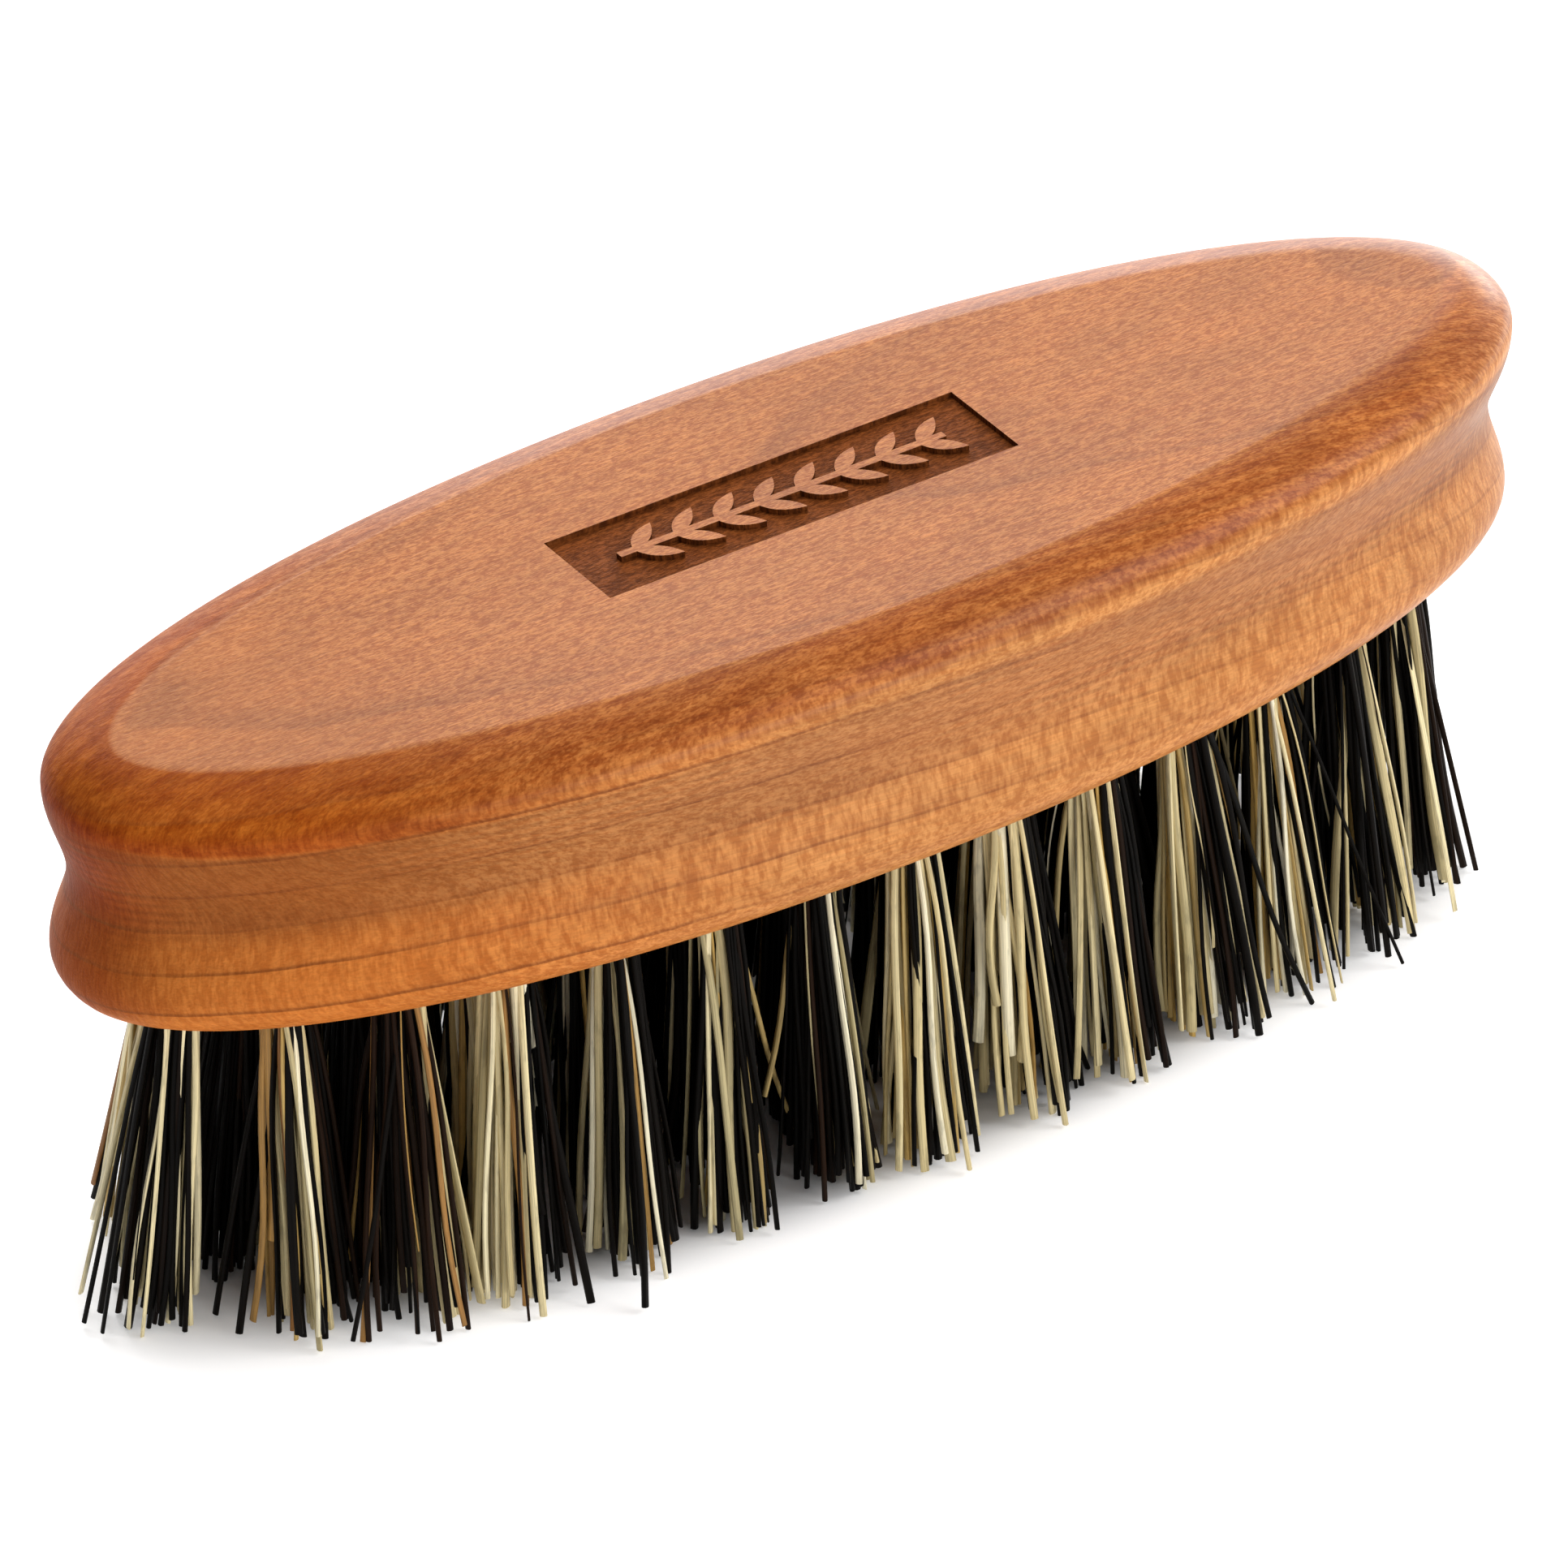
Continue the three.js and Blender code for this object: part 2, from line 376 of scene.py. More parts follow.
# The engraved panel: a shallow sunk rectangle with burnt floor and walls, round a plain sprig of paired
# leaves that is left standing at the height of the back.
PANEL_LENGTH = 31.4 * MM
PANEL_WIDTH = 7.6 * MM
PANEL_DEPTH = 0.4 * MM
PANEL_OFFSET = 1.1 * MM  # from the middle of the back towards the far side
PANEL_MIDDLE = Vector((centre.x, centre.y + PANEL_OFFSET, top))
SPRIG_LENGTH = 25 * MM
STEM_WIDTH = 0.6 * MM
LEAF_PAIRS = 8
LEAF_LENGTH = 3.3 * MM
LEAF_WIDTH = 1.15 * MM
LEAF_ANGLE = math.radians(38)
LEAF_BELLY = 0.45  # the handle of a leaf's curve, as a share of its length
LEAF_STEPS = 10
FIRST_LEAF = 0.35  # from the end of the stem, as a share of the leaves' spacing


def add_prism(solid, outline, low, high):
    """Adds a closed upright prism on an anticlockwise outline of (x, y) points round the panel's middle."""
    below = [solid.verts.new(PANEL_MIDDLE + Vector((x, y, low))) for x, y in outline]
    above = [solid.verts.new(PANEL_MIDDLE + Vector((x, y, high))) for x, y in outline]
    solid.faces.new(list(reversed(below)))
    solid.faces.new(above)
    for i in range(len(outline)):
        j = (i + 1) % len(outline)
        solid.faces.new((below[i], below[j], above[j], above[i]))


def rectangle(length, width):
    x, y = length / 2, width / 2
    return [(-x, -y), (x, -y), (x, y), (-x, y)]


def leaf_outline(x, side):
    """A pointed leaf that grows from the stem at x, towards one side."""
    edge = []
    for i in range(LEAF_STEPS + 1):
        t = i / LEAF_STEPS
        along = LEAF_LENGTH * (2 * t * (1 - t) * LEAF_BELLY + t * t)
        edge.append((along, -LEAF_WIDTH * 2 * t * (1 - t)))
    edge += [(along, -across) for along, across in reversed(edge[1:-1])]
    cos_turn, sin_turn = math.cos(side * LEAF_ANGLE), math.sin(side * LEAF_ANGLE)
    return [
        (x + along * cos_turn - across * sin_turn, along * sin_turn + across * cos_turn)
        for along, across in edge
    ]


ROOTING = 0.2 * MM  # the sprig's solids reach this far past the panel's floor and the back
sprig = bmesh.new()
add_prism(sprig, rectangle(SPRIG_LENGTH, STEM_WIDTH), -PANEL_DEPTH - ROOTING, ROOTING)
sprig_object = loose_solid("sprig", sprig)
for pair in range(LEAF_PAIRS):
    x = -SPRIG_LENGTH / 2 + SPRIG_LENGTH * (pair + FIRST_LEAF) / LEAF_PAIRS
    for side in (-1, 1):
        leaf = bmesh.new()
        add_prism(leaf, leaf_outline(x, side), -PANEL_DEPTH - ROOTING, ROOTING)
        apply_cut(sprig_object, loose_solid("leaf", leaf), "UNION")
panel = bmesh.new()
add_prism(panel, rectangle(PANEL_LENGTH, PANEL_WIDTH), -PANEL_DEPTH, PANEL_DEPTH)
panel_object = loose_solid("panel", panel)
apply_cut(panel_object, sprig_object, "DIFFERENCE")
apply_cut(stock, panel_object, "DIFFERENCE")


def product(tree, first, *rest):
    """Masks or numbers multiplied together."""
    for factor in rest:
        first = calc(tree, "MULTIPLY", first, factor)
    return first


def total(tree, first, *rest):
    """Masks or numbers added together."""
    for value in rest:
        first = calc(tree, "ADD", first, value)
    return first


def blend_colour(tree, amount, a, b, how="MIX"):
    """One colour laid over another. The numbers are the colour sockets of Blender's mix node."""
    inputs = {0: amount, 6: a, 7: b}
    return add_node(tree, "ShaderNodeMix", inputs, data_type="RGBA", blend_type=how).outputs[2]


def shaded(tree, colour, shade):
    """A colour made lighter or darker."""
    return add_node(tree, "ShaderNodeVectorMath", {0: colour, "Scale": shade}, operation="SCALE").outputs[0]


def stretched(tree, position, size):
    """The position divided by a size along each axis, so that a pattern is drawn out to that size."""
    shrink = tuple(1 / length for length in size)
    return add_node(tree, "ShaderNodeVectorMath", {0: position, 1: shrink}, operation="MULTIPLY").outputs[0]


def noise(tree, position, detail=2.0, roughness=0.5):
    """Smooth random values round 0.5."""
    inputs = {"Vector": position, "Scale": 1.0, "Detail": detail, "Roughness": roughness}
    return add_node(tree, "ShaderNodeTexNoise", inputs).outputs["Fac"]


def bump(tree, height, distance, strength=1.0):
    """The normal of a surface with a fine relief."""
    inputs = {"Height": height, "Strength": strength, "Distance": distance}
    return add_node(tree, "ShaderNodeBump", inputs).outputs["Normal"]


def start_group(name, vectors, values):
    """An empty shader group that takes in vectors and gives out values. Returns it and its two ends."""
    group = bpy.data.node_groups.new(name, "ShaderNodeTree")
    for socket in vectors:
        group.interface.new_socket(socket, in_out="INPUT", socket_type="NodeSocketVector")
    for socket in values:
        group.interface.new_socket(socket, in_out="OUTPUT", socket_type="NodeSocketFloat")
    return group, group.nodes.new("NodeGroupInput"), group.nodes.new("NodeGroupOutput")


# The grain is worked out in three dimensions, as in a real billet: the pith lies above the back and is
# tilted, so rings run along the sides and cross the back in long flames.
PITH_HEIGHT = 43.0  # above the flat back, millimetres
PITH_SIDE = 2.5
PITH_TILT = 0.06
ARC_SCALE = 50.0  # millimetres round the pith for each radian
RING_START = 40.4
RING_SPACING = 2.8
FINE_SPACING = 0.62
RING_WANDER = 1.1
RING_RIPPLE = 0.22
LATE_RISE = (0.3, 0.93)  # shares of one year's growth
LATE_FALL = (0.93, 1.0)
LINE_RISE = (0.86, 0.945)
LINE_FALL = (0.965, 0.99)
LINE_FADED = 0.5
YEAR_SHARE = 0.25
SMALL_FLECK_SHARE = 0.55
WANDER_SIZE = (30.0, 13.0, 11.0)  # of each pattern, in millimetres along the brush and across it
RIPPLE_SIZE = (8.0, 3.0, 3.0)
LINE_FADE_SIZE = (24.0, 9.0, 7.0)
FINE_FADE_SIZE = (20.0, 8.0, 5.0)
SMALL_FLECK_SIZE = (0.38, 0.11, 1.1)
LARGE_FLECK_SIZE = (0.9, 0.3, 2.4)
STREAK_SIZE = (3.2, 0.12, 0.14)
MOTTLE_SIZE = (14.0, 5.0, 4.0)
PATCH_SIZE = (5.5, 0.9, 0.9)
LINE_FADE = (0.36, 0.54)  # values of each pattern that give its least and its most
FINE_FADE = (0.42, 0.6)
FLECK_CONTRAST = (0.42, 0.59)
STREAK_CONTRAST = (0.34, 0.68)
MOTTLE_CONTRAST = (0.3, 0.7)
PATCH_CONTRAST = (0.36, 0.66)

figure = ("Ring Line", "Ring Tone", "Fine Rings", "Flecks", "Fine Streaks", "Mottle", "Patches")
grain, grain_in, grain_out = start_group("pear_grain", ["Position"], figure)
place = grain_in.outputs["Position"]
wander = calc(grain, "SUBTRACT", noise(grain, stretched(grain, place, WANDER_SIZE), 3.0), 0.5)
ripple = calc(grain, "SUBTRACT", noise(grain, stretched(grain, place, RIPPLE_SIZE)), 0.5)
parts = add_node(grain, "ShaderNodeSeparateXYZ", {"Vector": place}).outputs
pith_z = calc(grain, "MULTIPLY_ADD", parts["X"], -PITH_TILT, top / MM + PITH_HEIGHT)
drop = calc(grain, "SUBTRACT", pith_z, parts["Z"])
side_step = calc(grain, "SUBTRACT", parts["Y"], PITH_SIDE)
squares = total(grain, product(grain, drop, drop), product(grain, side_step, side_step))
radius = calc(grain, "MULTIPLY_ADD", wander, RING_WANDER, calc(grain, "SQRT", squares))
radius = calc(grain, "MULTIPLY_ADD", ripple, RING_RIPPLE, radius)
around = product(grain, calc(grain, "ARCTAN2", side_step, drop), ARC_SCALE)
rings_passed = calc(grain, "DIVIDE", calc(grain, "SUBTRACT", radius, RING_START), RING_SPACING)
phase = calc(grain, "FRACT", rings_passed)
late = product(grain, ramp(grain, phase, *LATE_RISE), ramp(grain, phase, *LATE_FALL, 1.0, 0.0))
line = product(grain, ramp(grain, phase, *LINE_RISE), ramp(grain, phase, *LINE_FALL, 1.0, 0.0))
line_fade = noise(grain, stretched(grain, place, LINE_FADE_SIZE), 1.0)
year = calc(grain, "FLOOR", rings_passed)
year_tone = add_node(grain, "ShaderNodeTexWhiteNoise", {"W": year}, noise_dimensions="1D").outputs["Value"]
fine = calc(grain, "SINE", product(grain, radius, 2 * math.pi / FINE_SPACING))
fine_fade = noise(grain, stretched(grain, place, FINE_FADE_SIZE), 1.0)
log_place = add_node(
    grain, "ShaderNodeCombineXYZ", {"X": parts["X"], "Y": around, "Z": radius}
).outputs["Vector"]
small_flecks = noise(grain, stretched(grain, log_place, SMALL_FLECK_SIZE), 2.0, 0.6)
large_flecks = noise(grain, stretched(grain, log_place, LARGE_FLECK_SIZE), 2.0, 0.6)
fleck_field = total(
    grain,
    product(grain, small_flecks, SMALL_FLECK_SHARE),
    product(grain, large_flecks, 1 - SMALL_FLECK_SHARE),
)
streak_field = noise(grain, stretched(grain, log_place, STREAK_SIZE), 2.0, 0.6)
mottle = noise(grain, stretched(grain, log_place, MOTTLE_SIZE), 2.5)
patches = noise(grain, stretched(grain, log_place, PATCH_SIZE), 3.0, 0.6)
for name, value in {
    "Ring Line": product(grain, line, ramp(grain, line_fade, *LINE_FADE, LINE_FADED, 1.0)),
    "Ring Tone": calc(grain, "MULTIPLY_ADD", year_tone, YEAR_SHARE, product(grain, late, 1 - YEAR_SHARE)),
    "Fine Rings": product(grain, fine, ramp(grain, fine_fade, *FINE_FADE)),
    "Flecks": ramp(grain, fleck_field, *FLECK_CONTRAST, smooth=False),
    "Fine Streaks": ramp(grain, streak_field, *STREAK_CONTRAST, smooth=False),
    "Mottle": ramp(grain, mottle, *MOTTLE_CONTRAST),
    "Patches": ramp(grain, patches, *PATCH_CONTRAST, smooth=False),
}.items():
    grain.links.new(value, grain_out.inputs[name])

BACK_PEAR = (0.450, 0.141, 0.027, 1)
SIDE_PEAR = (0.488, 0.186, 0.046, 1)
GROOVE_PEAR = (0.362, 0.131, 0.034, 1)
# The shoulder is darker than the back: partly the wood's own deeper tone, partly painted shade where it
# turns away from the light from behind.
SHOULDER_PEAR = (0.375, 0.103, 0.018, 1)
# A lighter golden strip at the foot of the shoulder: partly quarter-sawn figure, partly painted light where
# the strip catches the lamps.
GOLD_PEAR = (0.580, 0.230, 0.058, 1)
# Painted shade: the sides, groove and shoulder take deeper, darker colours towards the left-hand end, which
# faces away from the lamps.
LEFT_SHADED_PEAR = (0.480, 0.136, 0.021, 1)
LEFT_SHADED_GROOVE = (0.255, 0.072, 0.013, 1)
RIGHT_GROOVE = (0.295, 0.097, 0.016, 1)
LEFT_SHADED_SHOULDER = (0.340, 0.074, 0.006, 1)
# Painted shade: a darker band at the foot of the shoulder, towards the left-hand end only.
SHADED_SHOULDER_RIM = (0.285, 0.052, 0.004, 1)
# The left-hand end: end grain's own darker colour, painted darker still as shade, since that end faces away
# from the lamps.
END_GRAIN_AND_SHADE_PEAR = (0.200, 0.026, 0.001, 1)
# Painted light: the right-hand end, where it turns up towards the lamps, is made lighter, a painted sheen.
RIGHT_END_PAINTED_SHEEN = (0.500, 0.215, 0.080, 1)
LATE_WOOD = (0.255, 0.070, 0.018, 1)
RING_BROWN = (0.185, 0.048, 0.009, 1)
BURNT_PEAR = (0.180, 0.046, 0.009, 1)
# The walls of the sunk panel: burnt like its floor, and painted darker still as shade inside the recess.
SHADED_BURNT_WALL = (0.095, 0.024, 0.005, 1)
PATCH_DARK = (0.84, 0.73, 0.60, 1)
PATCH_LIGHT = (1.28, 1.46, 1.70, 1)
FLECK_DARK = (0.74, 0.60, 0.44, 1)
FLECK_LIGHT = (1.22, 1.36, 1.55, 1)

# The zones of the stock, each from where it begins to where it is full. Heights are above the underside
# and reaches along the brush, in millimetres. Facings are how far the surface turns towards an axis.
BELOW_RIDGE = (18.89, 18.80)
GROOVE_FOOT = (6.8, 9.6)
GROOVE_HEAD = (15.7, 14.9)
SOFT_SHOULDER = (15.7, 17.2)
CRISP_SHOULDER = (15.1, 15.7)
EDGE_FOOT = (14.7, 15.4)
EDGE_HEAD = (16.7, 15.8)
RIM_FOOT = (15.2, 15.6)
RIM_HEAD = (17.0, 16.0)
LOW_LINES = (1.0, 4.0)
EDGE_REACH = (-26, 18)
LEFT_REACH = (-24, -46)
LEFT_SHADE_REACH = (-2, -44)
RIGHT_REACH = (30, 50)
LINE_REACH = (10, -32)
END_FACING = (0.55, 0.97)
RIGHT_FACING = (0.12, 0.50)
UP_FACING = (0.25, 0.55)
FLOOR_FACING = (0.7, 0.95)
EDGE_GOLD = 0.36
# How strongly these zones are laid on: painted shade at the left-hand end, with end grain's own darker
# colour there, and painted light at the right-hand end.
LEFT_RIM_SHADE = 0.85
LEFT_SHADE_WEIGHT = 0.9
END_GRAIN_AND_SHADE = 0.75
RIGHT_END_SHEEN_SHARE = 0.3


def stock_zones(tree, position):
    """Where each point of the stock lies, and masks of its zones: they set the colour, with painted shade
    towards the left-hand end and painted light at the right-hand end, and how much the oil shines.
    """
    spot = add_node(tree, "ShaderNodeSeparateXYZ", {"Vector": position}).outputs
    normal = add_node(tree, "ShaderNodeNewGeometry").outputs["Normal"]
    facing = add_node(tree, "ShaderNodeSeparateXYZ", {"Vector": normal}).outputs
    height = calc(tree, "SUBTRACT", spot["Z"], underside / MM)
    along = spot["X"]
    side = ramp(tree, height, *BELOW_RIDGE)
    left = ramp(tree, along, *LEFT_REACH)
    soft_band = ramp(tree, height, *SOFT_SHOULDER)
    crisp_band = ramp(tree, height, *CRISP_SHOULDER)
    band = total(tree, soft_band, product(tree, left, calc(tree, "SUBTRACT", crisp_band, soft_band)))
    edge = product(tree, ramp(tree, height, *EDGE_FOOT), ramp(tree, height, *EDGE_HEAD))
    rim = product(tree, ramp(tree, height, *RIM_FOOT), ramp(tree, height, *RIM_HEAD))
    right_end = product(tree, side, ramp(tree, facing["X"], *RIGHT_FACING))
    return SimpleNamespace(
        height=height,
        along=along,
        across=spot["Y"],
        facing=facing,
        side=side,
        left=left,
        groove=product(tree, ramp(tree, height, *GROOVE_FOOT), ramp(tree, height, *GROOVE_HEAD)),
        shoulder=product(tree, side, band),
        # the golden strip: quarter-sawn figure and painted light
        edge=product(tree, edge, ramp(tree, along, *EDGE_REACH, 0.0, EDGE_GOLD)),
        # painted shade at the foot of the shoulder, towards the left-hand end
        rim=product(tree, rim, left, LEFT_RIM_SHADE),
        # painted shade towards the left-hand end of the sides
        left_painted_shade=product(tree, side, ramp(tree, along, *LEFT_SHADE_REACH, 0.0, LEFT_SHADE_WEIGHT)),
        # end grain's darker colour and painted shade, on the left-hand end only
        end_grain_and_shade=product(tree, ramp(tree, product(tree, facing["X"], -1.0), *END_FACING), END_GRAIN_AND_SHADE),
        right_end=product(tree, right_end, ramp(tree, facing["Z"], *UP_FACING)),
    )


def zone_colour_with_painted_light(tree, zones):
    """Colours by zone. The shoulder is darker than the flat back and the groove, partly the wood's own tone
    and partly painted shade; the groove darkens towards both ends; the left-hand end is painted darker
    still, as shade, and the right-hand end lighter, as painted light.
    """
    groove_colour = blend_colour(tree, zones.left, GROOVE_PEAR, LEFT_SHADED_GROOVE)
    groove_colour = blend_colour(tree, ramp(tree, zones.along, *RIGHT_REACH), groove_colour, RIGHT_GROOVE)
    colour = blend_colour(tree, zones.side, BACK_PEAR, SIDE_PEAR)
    for zone, zone_colour in (
        # painted shade towards the left-hand end
        (zones.left_painted_shade, LEFT_SHADED_PEAR),
        (zones.groove, groove_colour),
        # the shoulder: the wood's deeper tone and painted shade
        (zones.shoulder, blend_colour(tree, zones.left, SHOULDER_PEAR, LEFT_SHADED_SHOULDER)),
        # the golden strip: quarter-sawn figure and painted light
        (zones.edge, GOLD_PEAR),
        # painted shade at the foot of the shoulder, towards the left-hand end
        (zones.rim, SHADED_SHOULDER_RIM),
        # end grain's darker colour and painted shade on the left-hand end
        (zones.end_grain_and_shade, END_GRAIN_AND_SHADE_PEAR),
        # painted sheen on the right-hand end
        (product(tree, zones.right_end, RIGHT_END_SHEEN_SHARE), RIGHT_END_PAINTED_SHEEN),
    ):
        colour = blend_colour(tree, zone, colour, zone_colour)
    return colour


LATE_TINT = 0.17
LATE_CLEAR = -0.02
LINE_RIGHT = 0.3
LINE_LEFT = 0.8
LINE_ON_SHOULDER = 0.25
LINE_AT_FOOT = 0.2
LINE_FAINTEST = 0.25
FLECK_ON_SIDE = 0.72
FLECK_AT_LEFT = 0.62
PATCH_ON_BACK = 0.15
PATCH_ON_SHOULDER = 0.85


def figured_colour(tree, zones, wood, colour):
    """The zone colour, painted light and shade included, with the rings, flecks and patches of the grain
    laid over it.
    """
    tone_shift = calc(tree, "MULTIPLY_ADD", wood["Ring Tone"], LATE_TINT, LATE_CLEAR)
    colour = blend_colour(tree, tone_shift, colour, LATE_WOOD)
    line_weight = product(
        tree, zones.side,
        ramp(tree, zones.along, *LINE_REACH, LINE_RIGHT, LINE_LEFT),
        ramp(tree, zones.shoulder, 0, 1, 1.0, LINE_ON_SHOULDER),
        ramp(tree, zones.height, *LOW_LINES, LINE_AT_FOOT, 1.0),
    )
    line_weight = product(tree, wood["Ring Line"], calc(tree, "MAXIMUM", line_weight, LINE_FAINTEST))
    colour = blend_colour(tree, line_weight, colour, RING_BROWN)
    fleck_weight = total(
        tree,
        ramp(tree, zones.side, 0, 1, 1.0, FLECK_ON_SIDE),
        product(tree, zones.shoulder, 1 - FLECK_ON_SIDE),
    )
    fleck_weight = product(tree, fleck_weight, ramp(tree, zones.left, 0, 1, 1.0, FLECK_AT_LEFT))
    fleck_tint = blend_colour(tree, wood["Flecks"], FLECK_DARK, FLECK_LIGHT)
    colour = blend_colour(tree, fleck_weight, colour, fleck_tint, "MULTIPLY")
    patch_weight = ramp(tree, zones.shoulder, 0, 1, PATCH_ON_BACK, PATCH_ON_SHOULDER)
    patch_tint = blend_colour(tree, wood["Patches"], PATCH_DARK, PATCH_LIGHT)
    return blend_colour(tree, patch_weight, colour, patch_tint, "MULTIPLY")


DARKEST_SHADE = 0.82
STREAK_SHADE = 0.22
MOTTLE_SHADE = 0.12
FINE_SHADE = (0.03, 0.11)  # out of the groove and in it


def grain_shade(tree, zones, wood):
    """How light the streaks, the mottle and the fine rings leave the wood."""
    return total(
        tree, calc(tree, "MULTIPLY_ADD", wood["Fine Streaks"], STREAK_SHADE, DARKEST_SHADE),
        product(tree, wood["Mottle"], MOTTLE_SHADE),
        product(tree, wood["Fine Rings"], ramp(tree, zones.groove, 0, 1, *FINE_SHADE)),
    )


OIL_POLISH = 0.25
DEEP_POLISH = -0.22
END_POLISH = -0.2
LEFT_POLISH = -0.07
FRONT_POLISH = 0.03
RIGHT_POLISH = 0.10
RIGHT_END_POLISH = 0.40
FAR_POLISH = 0.1
LEFT_POLISH_REACH = (-6, -40)
FRONT_REACH = (9, -9)  # across the brush, towards the front
RIGHT_POLISH_REACH = (15, 46)
FAR_REACH = (-10, 40)
FAR_FACING = (0.2, 0.6)


def oil_polish(tree, zones, plain):
    """How much the oil shines: least where it has sunk in at the left, most at the right-hand end."""
    far_side = product(
        tree, ramp(tree, zones.facing["Y"], *FAR_FACING), ramp(tree, zones.along, *FAR_REACH)
    )
    polish = total(
        tree, plain,
        product(tree, zones.left_painted_shade, DEEP_POLISH),
        product(tree, zones.end_grain_and_shade, END_POLISH),
        ramp(tree, zones.along, *LEFT_POLISH_REACH, 0.0, LEFT_POLISH),
        ramp(tree, zones.across, *FRONT_REACH, -FRONT_POLISH, FRONT_POLISH),
        product(tree, zones.side, ramp(tree, zones.along, *RIGHT_POLISH_REACH, 0.0, RIGHT_POLISH)),
        product(tree, zones.right_end, RIGHT_END_POLISH),
        product(tree, far_side, zones.side, FAR_POLISH),
    )
    return calc(tree, "MAXIMUM", polish, 0.0)


BURN_COVER = 0.9
BURN_SHADE = 0.6
BURN_FLECKS = 0.75
WOOD_ROUGHNESS = 0.52
BURNT_ROUGHNESS = 0.65
FLECK_ROUGHNESS = -0.10
WOOD_SPECULAR = 0.04
OIL_ROUGHNESS = 0.3
STREAK_RELIEF = 0.6
FLECK_RELIEF = 0.5
CHAR_RELIEF = 2.0
CHAR_SIZE = (0.7, 0.16, 0.5)
WOOD_RELIEF_DEPTH = 0.02 * MM
BURNT_RELIEF_DEPTH = 0.06 * MM


def wood_material(name, burnt):
    """Oiled pear wood. Where it is burnt, the laser has left a brown scorch with a fibrous surface."""
    material = bpy.data.materials.new(name)
    material.use_nodes = True
    tree = material.node_tree
    shader = tree.nodes["Principled BSDF"]
    position = stretched(tree, add_node(tree, "ShaderNodeTexCoord").outputs["Object"], (MM, MM, MM))
    wood = add_node(tree, "ShaderNodeGroup", {"Position": position}, node_tree=grain).outputs
    zones = stock_zones(tree, position)
    colour = figured_colour(tree, zones, wood, zone_colour_with_painted_light(tree, zones))
    shade = grain_shade(tree, zones, wood)
    relief = total(
        tree, product(tree, wood["Fine Streaks"], STREAK_RELIEF), product(tree, wood["Flecks"], FLECK_RELIEF)
    )
    if burnt:
        # walls burnt like the floor and painted darker, painted shade inside the sunk panel
        scorch = blend_colour(tree, ramp(tree, zones.facing["Z"], *FLOOR_FACING), SHADED_BURNT_WALL, BURNT_PEAR)
        colour = blend_colour(tree, BURN_COVER, colour, scorch)
        shade = product(tree, shade, calc(tree, "MULTIPLY_ADD", wood["Flecks"], BURN_FLECKS, BURN_SHADE))
        fibrous = noise(tree, stretched(tree, position, CHAR_SIZE), 3.0, 0.6)
        relief = calc(tree, "MULTIPLY_ADD", fibrous, CHAR_RELIEF, relief)
    dullness = BURNT_ROUGHNESS if burnt else WOOD_ROUGHNESS
    dullness = calc(tree, "MULTIPLY_ADD", wood["Flecks"], FLECK_ROUGHNESS, dullness)
    relief_depth = BURNT_RELIEF_DEPTH if burnt else WOOD_RELIEF_DEPTH
    for socket, value in {
        "Base Color": shaded(tree, colour, shade),
        "Roughness": dullness,
        "Coat Weight": oil_polish(tree, zones, 0.0 if burnt else OIL_POLISH),
        "Normal": bump(tree, relief, relief_depth),
    }.items():
        tree.links.new(value, shader.inputs[socket])
    shader.inputs["Specular IOR Level"].default_value = WOOD_SPECULAR
    shader.inputs["Coat Roughness"].default_value = OIL_ROUGHNESS
    return material


pear_wood = wood_material("oiled_pear_wood", burnt=False)
burnt_wood = wood_material("engraved_pear_wood", burnt=True)
stock.data.materials.clear()
stock.data.materials.append(pear_wood)
stock.data.materials.append(burnt_wood)
for face in stock.data.polygons:
    face.use_smooth = True
    spot = face.center - PANEL_MIDDLE
    in_panel = abs(spot.x) < PANEL_LENGTH / 2 + SLICE and abs(spot.y) < PANEL_WIDTH / 2 + SLICE
    face.material_index = int(in_panel and -PANEL_DEPTH - SLICE < spot.z < -SLICE)
stock.data.set_sharp_from_angle(angle=SHARP_ANGLE)
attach(stock, "root")
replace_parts(stock, "stock")

# ---------------------------------------------------------------------------------------------------
# Anchors. A short flat brass wire for each tuft, driven crosswise into the bottom of its hole. It holds
# the folded middle of the tuft and bites into the wood at both of its ends.
ANCHOR_LENGTH = 3.6 * MM
ANCHOR_WIDTH = 1.3 * MM
ANCHOR_THICKNESS = 0.3 * MM
ANCHOR_TOP = 0.9 * MM  # below the bottom of the hole
ANCHOR_BEVEL = 0.06 * MM
ANCHOR_TURN = 0.5  # most radians that an anchor is turned from the length of the brush
SCRATCH_SIZE = (2.0 * MM, 0.05 * MM, 0.05 * MM)
DULL_BRASS = (0.62, 0.44, 0.19, 1)
BRIGHT_BRASS = (0.75, 0.58, 0.30, 1)
BRASS_ROUGHNESS = (0.25, 0.42)

anchor_metal = bpy.data.materials.new("anchor_wire")
anchor_metal.use_nodes = True
tree = anchor_metal.node_tree
brass = tree.nodes["Principled BSDF"]
brass.inputs["Metallic"].default_value = 1.0
drawn = add_node(tree, "ShaderNodeTexCoord").outputs["Object"]
scratches = noise(tree, stretched(tree, drawn, SCRATCH_SIZE), 3.0)
tree.links.new(blend_colour(tree, scratches, DULL_BRASS, BRIGHT_BRASS), brass.inputs["Base Color"])
tree.links.new(ramp(tree, scratches, 0.3, 0.7, *BRASS_ROUGHNESS), brass.inputs["Roughness"])

